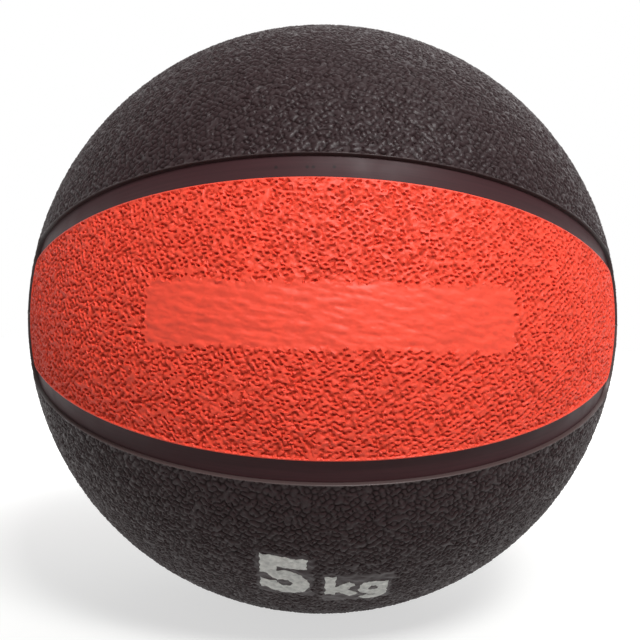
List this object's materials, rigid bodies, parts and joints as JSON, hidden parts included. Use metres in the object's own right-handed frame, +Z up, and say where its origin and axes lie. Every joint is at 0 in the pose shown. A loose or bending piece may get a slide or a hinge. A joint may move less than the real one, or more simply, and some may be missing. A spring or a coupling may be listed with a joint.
{
  "type": "wall ball",
  "caption": "Round rubber wall ball, black pebbled skin, with a red pebbled panel at front and rear, each framed by a smooth recessed channel.",
  "frame": {"origin": "the centre of the ball", "axes": "+Z up, with the covers' parting line in the plane Z = 0; the front panel's middle faces -Y and the valve is on +Y; the panels' long way runs along X"},
  "size_m": [0.24, 0.2397, 0.24],
  "materials": {
    "red_rubber": "matt red moulded rubber, pebbled",
    "black_rubber": "matt black moulded rubber, pebbled",
    "smooth_black_rubber": "smooth satin black rubber",
    "carcass_rubber": "plain filled black rubber, as vulcanised",
    "nylon_thread": "natural nylon thread, wound",
    "butyl_rubber": "smooth butyl rubber sheet",
    "patch_fabric": "rubberised fabric",
    "valve_rubber": "smooth black valve rubber"
  },
  "bodies": {
    "root": {"front_panel": "red_rubber", "rear_panel": "red_rubber", "front_channel": "smooth_black_rubber", "rear_channel": "smooth_black_rubber", "upper_cover": "black_rubber", "lower_cover": "black_rubber", "upper_carcass": "carcass_rubber", "lower_carcass": "carcass_rubber", "thread_winding": "nylon_thread", "bladder": "butyl_rubber", "valve_patch": "patch_fabric", "valve_body": "valve_rubber", "valve_core": "valve_rubber"}
  },
  "joints": []
}
